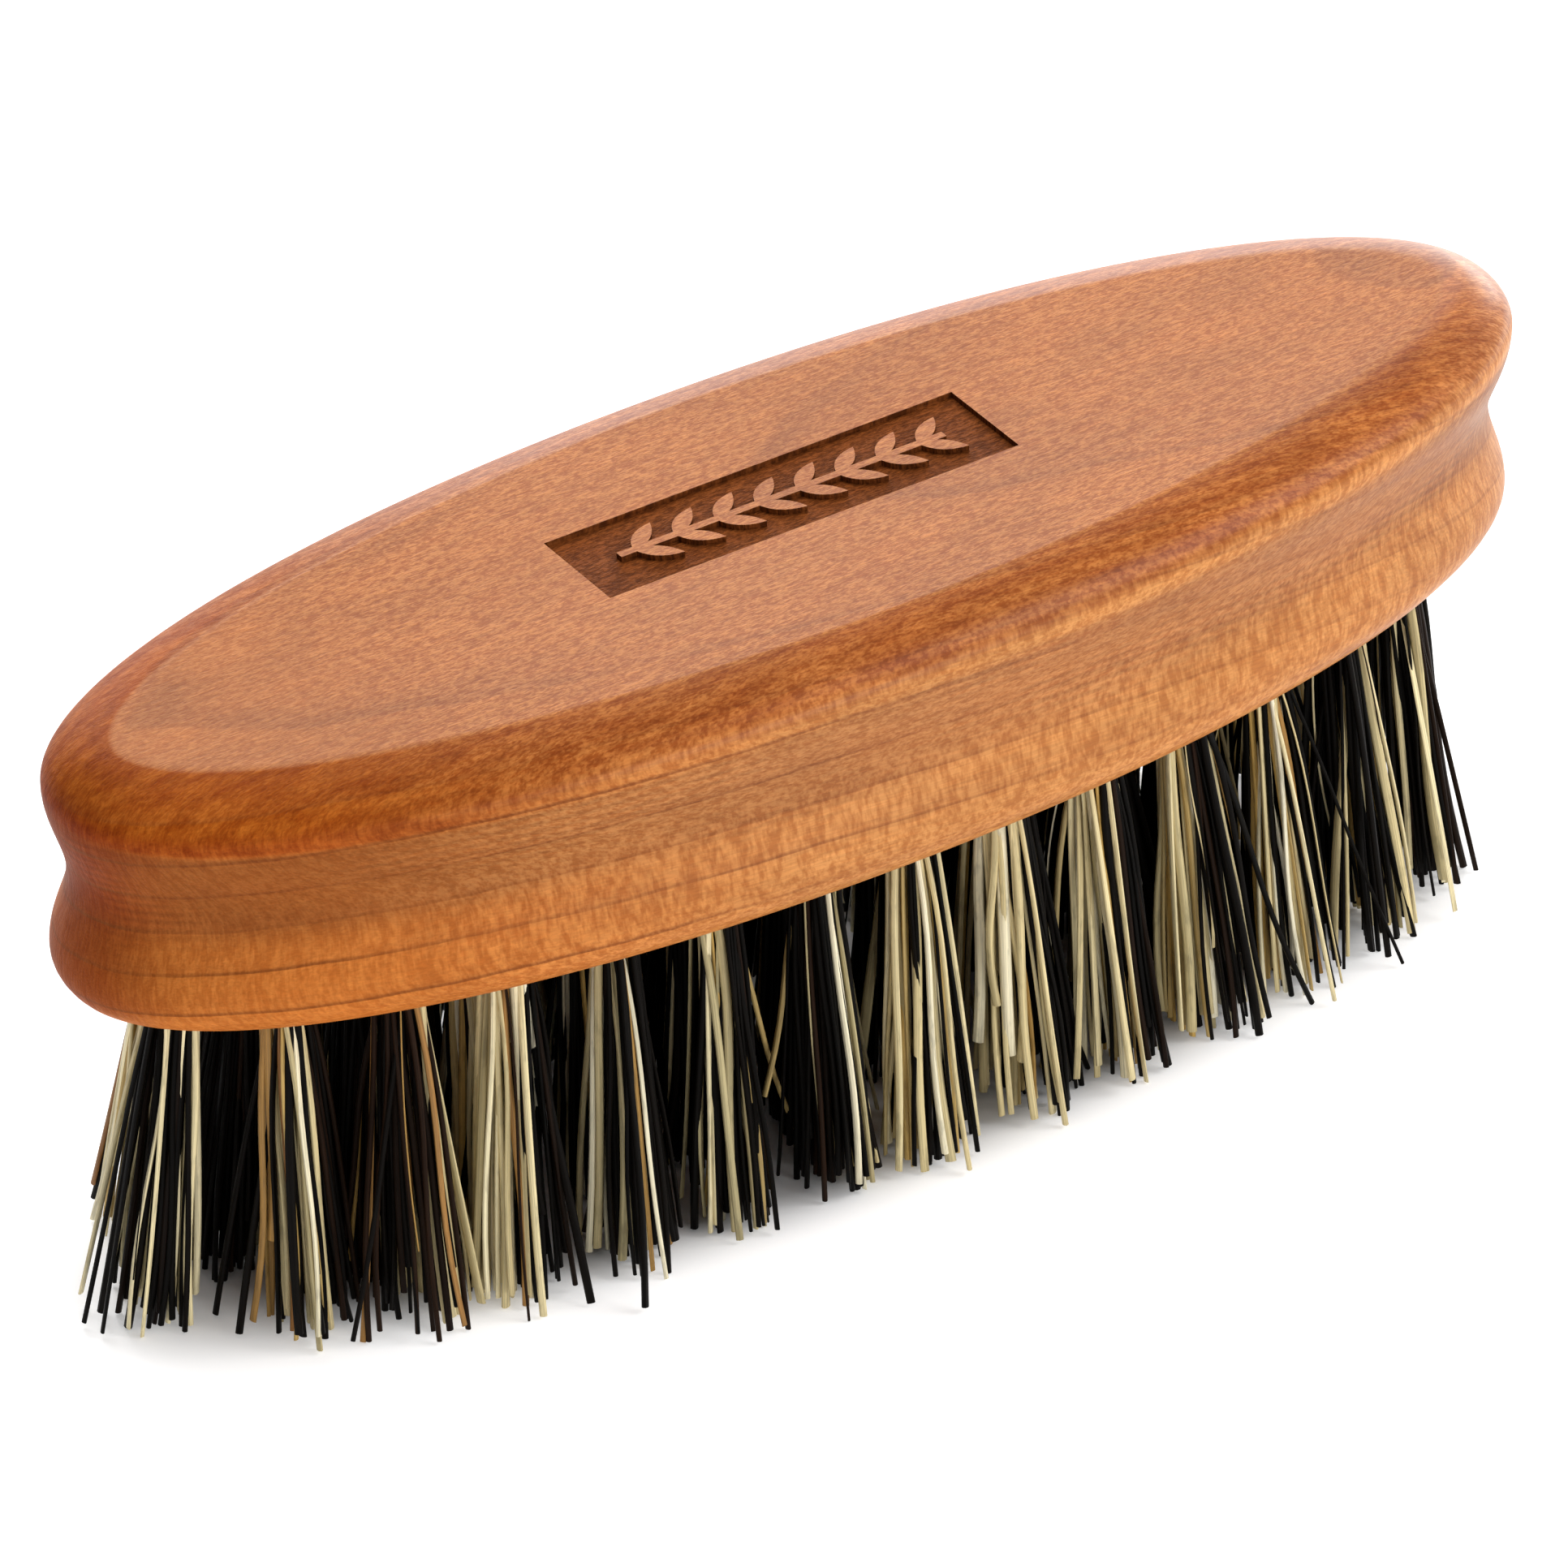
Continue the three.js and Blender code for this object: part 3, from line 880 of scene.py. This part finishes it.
for node, tuft in tufts.items():
    tuft["anchor_turn"] = random.Random(node).uniform(-ANCHOR_TURN, ANCHOR_TURN)
    wire = bmesh.new()
    bmesh.ops.create_cube(wire, size=1.0)
    bmesh.ops.scale(wire, vec=(ANCHOR_LENGTH, ANCHOR_THICKNESS, ANCHOR_WIDTH), verts=wire.verts)
    bmesh.ops.bevel(wire, geom=wire.edges, offset=ANCHOR_BEVEL, segments=2, affect="EDGES", profile=0.5)
    anchor_data = bpy.data.meshes.new(node.replace("tuft", "anchor"))
    wire.to_mesh(anchor_data)
    wire.free()
    anchor_data.materials.append(anchor_metal)
    anchor = bpy.data.objects.new(anchor_data.name, anchor_data)
    middle = tuft["root"] + Vector((0, 0, HOLE_GAP - ANCHOR_TOP - ANCHOR_WIDTH / 2))
    turned = Matrix.Translation(middle) @ Matrix.Rotation(tuft["anchor_turn"], 4, "Z")
    anchor_data.transform(turned)
    bpy.context.scene.collection.objects.link(anchor)
    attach(anchor, "root")
    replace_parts(anchor, node)

# ---------------------------------------------------------------------------------------------------
# Tufts. Each is a bundle of stiff natural fibres, black mixed with straw-coloured ones, folded in half
# over its anchor and packed tight in its hole. The ends fan out and are trimmed to one rough level.
FIBRES = 34
PACK_RADIUS = 1.58 * MM
FIBRE_SIDES = 8
PALE_WIDTH = (0.12, 0.43, 0.22)  # half-widths in millimetres: least, most and commonest
DARK_WIDTH = (0.12, 0.33, 0.20)
PALE_FLATNESS = (0.35, 0.75)
DARK_FLATNESS = (0.5, 0.95)
UNEVENNESS = (0.90, 1.08)
TWIST = 1.8  # most radians that a fibre turns along its length


def fibre_section(pale, chance):
    """Corners of one fibre round its middle. The pale ones are the widest and flattest, like thin straps."""
    width = chance.triangular(*(PALE_WIDTH if pale else DARK_WIDTH)) * MM
    flatness = chance.uniform(*(PALE_FLATNESS if pale else DARK_FLATNESS))
    corners = []
    for i in range(FIBRE_SIDES):
        turn = 2 * math.pi * i / FIBRE_SIDES
        radius = chance.uniform(*UNEVENNESS)
        corners.append((width * radius * math.cos(turn), width * flatness * radius * math.sin(turn)))
    return corners


def sweep_fibre(bundle, path, section, chance):
    """A tube of that section along the path, with square-cut ends. bundle collects the mesh."""
    points, faces, skins, tones = bundle
    tone = chance.random()
    seed = chance.uniform(0, 100)
    twist = chance.uniform(0, 2 * math.pi)
    twist_rate = chance.uniform(-TWIST, TWIST) / len(path)
    base = len(points)
    side = None
    travelled = 0.0
    for i, spot in enumerate(path):
        ahead = path[min(i + 1, len(path) - 1)] - path[max(i - 1, 0)]
        ahead.normalize()
        if side is None:
            side = ahead.orthogonal().normalized()
        side = (side - ahead * side.dot(ahead)).normalized()
        other = ahead.cross(side)
        if i:
            travelled += (spot - path[i - 1]).length
        turn = twist + twist_rate * i
        cos_turn, sin_turn = math.cos(turn), math.sin(turn)
        for k, (a, b) in enumerate(section):
            turned_a, turned_b = a * cos_turn - b * sin_turn, a * sin_turn + b * cos_turn
            points.append(spot + side * turned_a + other * turned_b)
            angle = 2 * math.pi * k / FIBRE_SIDES
            skins.append((math.cos(angle) + seed, math.sin(angle) + seed, travelled / MM))
            tones.append(tone)
    for i in range(len(path) - 1):
        low = base + i * FIBRE_SIDES
        for k in range(FIBRE_SIDES):
            j = (k + 1) % FIBRE_SIDES
            faces.append((low + k, low + j, low + FIBRE_SIDES + j, low + FIBRE_SIDES + k))
    faces.append(tuple(reversed(range(base, base + FIBRE_SIDES))))
    faces.append(tuple(range(len(points) - FIBRE_SIDES, len(points))))


RAGGED = 0.85 * MM
MOST_RAGGED = 2.6 * MM
SHORT_SHARE = 0.06
SHORT_REACH = (0.72, 0.93)
FAN = 0.07
FAN_SPREAD = (0.75, 1.25)
LEAN = 0.021
CROSSING_SHARE = 0.07
CROSSING_LEAN = 0.11
BOW = 0.42  # millimetres
TIP_BOW = 0.6
WAVE = 0.12
HOLE_DEPTHS = (0.8, 0.45)  # of the points inside the hole, as shares of its depth
HOLE_PINCH = 0.2
FREE_STEPS = 10


def sideways_drift(chance, amount):
    """A random step to the side."""
    return Vector((chance.gauss(0, amount), chance.gauss(0, amount), 0))


def leg_path(tuft, spread, chance):
    """One half of a folded fibre, from the bottom of the hole to its cut tip."""
    slope, mouth = tuft["slope"], tuft["mouth"]
    reach = 1 if chance.random() > SHORT_SHARE else chance.uniform(*SHORT_REACH)
    tip_z = min(abs(chance.gauss(0, RAGGED)), MOST_RAGGED) + (1 - reach) * underside
    fan = FAN * chance.uniform(*FAN_SPREAD)
    lean = spread / PACK_RADIUS * fan + sideways_drift(chance, LEAN)
    lean += tuft["stray"]
    if chance.random() < CROSSING_SHARE:
        lean += sideways_drift(chance, CROSSING_LEAN)
    bow = sideways_drift(chance, BOW) * MM
    wave = sideways_drift(chance, WAVE) * MM
    path = []
    for depth in HOLE_DEPTHS:
        height = lerp(underside, tuft["root"].z, depth)
        spot = mouth + slope * (underside - height) + spread * (1 - HOLE_PINCH * depth)
        path.append(Vector((spot.x, spot.y, height)))
    for i in range(FREE_STEPS + 1):
        t = i / FREE_STEPS
        height = lerp(underside, tip_z, t)
        fall = underside - height
        spot = mouth + slope * fall + spread + lean * fall
        shift = bow * (2 * t * (1 - t) + TIP_BOW * t * t) + wave * math.sin(2 * math.pi * t)
        path.append(Vector((spot.x + shift.x, spot.y + shift.y, height)))
    return path


FOLD_CLOSING = (0.8, 1)  # how near the second leg comes to the mirror image of the first
FOLD_CROSSING = (0.9, 1)
CROWN_DROP = (0.2, 0.6)  # below the top of the root, millimetres
BEND_IN = 0.25
BEND_UP = 0.75


def folded_fibre(tuft, spread, chance):
    """Path of a whole fibre: up one leg, over the anchor and down the other."""
    mirrored = Vector((
        spread.x * chance.uniform(*FOLD_CLOSING),
        -spread.y * chance.uniform(*FOLD_CROSSING),
        0,
    ))
    across = Matrix.Rotation(tuft["anchor_turn"], 3, "Z")
    down = leg_path(tuft, across @ spread, chance)
    other = leg_path(tuft, across @ mirrored, chance)
    crown_z = tuft["root"].z - chance.uniform(*CROWN_DROP) * MM
    crown = (down[0] + other[0]) / 2
    bend_a = down[0].lerp(crown, BEND_IN)
    bend_b = other[0].lerp(crown, BEND_IN)
    bend_a.z = bend_b.z = lerp(down[0].z, crown_z, BEND_UP)
    crown.z = crown_z
    return list(reversed(down)) + [bend_a, crown, bend_b] + other


HAIR_PLACE = (0.5, 0.95)
HAIR_ROOT = 2 * MM
HAIR_TIP = (0.3, 9)  # above the table, millimetres
HAIR_BEND = (0.3, 2.4)
HAIR_DRIFT = 0.5
HAIR_LEAN = (-0.05, 0.14)
HAIR_CURL = 0.85
HAIR_RADIUS = (0.04, 0.085)
HAIR_STEPS = 16


def hair_path(tuft, chance):
    """A loose hair that is much finer than the fibres, so that it has bent out of the tuft."""
    turn = chance.uniform(0, 2 * math.pi)
    outward = Vector((math.cos(turn), math.sin(turn), 0))
    start = tuft["mouth"] + outward * PACK_RADIUS * chance.uniform(*HAIR_PLACE)
    tip_z = chance.uniform(*HAIR_TIP) * MM
    bend = outward * chance.uniform(*HAIR_BEND) * MM + sideways_drift(chance, HAIR_DRIFT) * MM
    lean = outward * chance.uniform(*HAIR_LEAN)
    path = []
    for i in range(HAIR_STEPS + 1):
        t = i / HAIR_STEPS
        fall = lerp(-HAIR_ROOT, underside - tip_z, t)
        spot = start + (tuft["slope"] + lean) * fall + bend * math.sin(math.pi * t * HAIR_CURL)
        path.append(Vector((spot.x, spot.y, underside - fall)))
    return path


def hair_section(chance):
    """Corners of one round hair."""
    radius = chance.uniform(*HAIR_RADIUS) * MM
    turns = (2 * math.pi * i / FIBRE_SIDES for i in range(FIBRE_SIDES))
    return [(radius * math.cos(turn), radius * math.sin(turn)) for turn in turns]


STRIATION_SIZE = (0.35, 0.35, 9.0)
BLOTCH_SIZE = (2.0, 2.0, 2.6)
fibre_skin, _, skin_out = start_group("fibre_skin", [], ["Striations", "Blotches", "Tone"])
skin_place = add_node(fibre_skin, "ShaderNodeAttribute", attribute_name="fibre_skin").outputs["Vector"]
striations = noise(fibre_skin, stretched(fibre_skin, skin_place, STRIATION_SIZE), 3.0, 0.6)
blotches = noise(fibre_skin, stretched(fibre_skin, skin_place, BLOTCH_SIZE), 3.0, 0.6)
for name, value in {
    "Striations": ramp(fibre_skin, striations, 0.3, 0.7),
    "Blotches": ramp(fibre_skin, blotches, 0.48, 0.72),
    "Tone": add_node(fibre_skin, "ShaderNodeAttribute", attribute_name="fibre_tone").outputs["Fac"],
}.items():
    fibre_skin.links.new(value, skin_out.inputs[name])


def colour_scale(tree, value, stops):
    """Colours at places from 0 to 1, one after the other."""
    scale = add_node(tree, "ShaderNodeValToRGB", {"Fac": value})
    elements = scale.color_ramp.elements
    for place, colour in stops[1:-1]:
        elements.new(place).color = colour
    elements[0].position, elements[0].color = stops[0]
    elements[-1].position, elements[-1].color = stops[-1]
    return scale.outputs["Color"]


STRIATION_LIGHT = 1.08
STRIATION_ROUGHNESS = 0.14
STRIATION_DEPTH = 0.02 * MM
STRIATION_RELIEF = 0.8
BLOTCH_SHADE = 0.72


def fibre_material(name, stops, shade_low, roughness, specular):
    """Stiff plant or animal fibre: lengthwise lines, small darker blotches and a tone of its own."""
    material = bpy.data.materials.new(name)
    material.use_nodes = True
    tree = material.node_tree
    shader = tree.nodes["Principled BSDF"]
    skin = add_node(tree, "ShaderNodeGroup", node_tree=fibre_skin)
    colour = colour_scale(tree, skin.outputs["Tone"], stops)
    striations = skin.outputs["Striations"]
    shade = product(
        tree, ramp(tree, striations, 0, 1, shade_low, STRIATION_LIGHT),
        ramp(tree, skin.outputs["Blotches"], 0, 1, 1.0, BLOTCH_SHADE),
    )
    tree.links.new(shaded(tree, colour, shade), shader.inputs["Base Color"])
    dullness = calc(tree, "MULTIPLY_ADD", striations, STRIATION_ROUGHNESS, roughness)
    tree.links.new(dullness, shader.inputs["Roughness"])
    shader.inputs["Specular IOR Level"].default_value = specular
    tree.links.new(bump(tree, striations, STRIATION_DEPTH, STRIATION_RELIEF), shader.inputs["Normal"])
    return material


dark_fibre = fibre_material(
    "dark_fibre",
    [(0.0, (0.003, 0.0025, 0.002, 1)), (0.8, (0.005, 0.0035, 0.0025, 1)), (1.0, (0.022, 0.010, 0.005, 1))],
    shade_low=0.6, roughness=0.36, specular=0.05,
)
pale_fibre = fibre_material(
    "pale_fibre",
    [
        (0.0, (0.95, 0.88, 0.66, 1)),
        (0.28, (0.86, 0.74, 0.43, 1)),
        (0.52, (0.70, 0.57, 0.29, 1)),
        (0.74, (0.44, 0.37, 0.19, 1)),
        (0.88, (0.62, 0.39, 0.10, 1)),
        (1.0, (0.30, 0.13, 0.03, 1)),
    ],
    shade_low=0.72, roughness=0.45, specular=0.3,
)


def fibre_piece(name, bundle, material):
    """A mesh piece made of collected fibres."""
    points, faces, skins, tones = bundle
    data = bpy.data.meshes.new(name)
    data.from_pydata(points, [], faces)
    data.attributes.new("fibre_skin", "FLOAT_VECTOR", "POINT").data.foreach_set(
        "vector", [value for skin in skins for value in skin]
    )
    data.attributes.new("fibre_tone", "FLOAT", "POINT").data.foreach_set("value", tones)
    data.materials.append(material)
    for face in data.polygons:
        face.use_smooth = len(face.vertices) == 4
    piece = bpy.data.objects.new(name, data)
    bpy.context.scene.collection.objects.link(piece)
    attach(piece, "root")
    return piece


OUTER_PALE = (0.2, 0.55)  # share of pale fibres in a tuft
# The inner tufts get fewer pale fibres: painted shade, since they stand in the shade behind the outer ones.
SHADED_INNER_PALE = (0.08, 0.25)
PACKED_AREA = (0.02, 1)  # share of the hole's area inside a fibre, which spreads them evenly
STRAY = 0.02
CLUMP_SCATTER = 0.6
CLUMPING = NormalDist(0, 0.78)
HAIR_COUNTS = (0, 1, 1, 2)

for node, tuft in tufts.items():
    chance = random.Random("fibres of " + node)
    tuft["stray"] = sideways_drift(chance, STRAY)
    pale_share = chance.uniform(*(OUTER_PALE if node.startswith("outer") else SHADED_INNER_PALE))
    pale_side = chance.choice((-1, 1))
    dark, pale = ([], [], [], []), ([], [], [], [])
    for _ in range(FIBRES):
        distance = PACK_RADIUS * math.sqrt(chance.uniform(*PACKED_AREA))
        turn = chance.uniform(0, math.pi)
        spread = Vector((math.cos(turn) * distance, math.sin(turn) * distance, 0))
        clump = pale_side * spread.x / PACK_RADIUS + chance.gauss(0, CLUMP_SCATTER)
        is_pale = CLUMPING.cdf(clump) > 1 - pale_share
        path = folded_fibre(tuft, spread, chance)
        sweep_fibre(pale if is_pale else dark, path, fibre_section(is_pale, chance), chance)
    for _ in range(chance.choice(HAIR_COUNTS)):
        bundle = chance.choice((dark, dark, pale))
        path = hair_path(tuft, chance)
        sweep_fibre(bundle, path, hair_section(chance), chance)
    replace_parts(fibre_piece(node + "_dark", dark, dark_fibre), node)
    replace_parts(fibre_piece(node + "_pale", pale, pale_fibre), node)
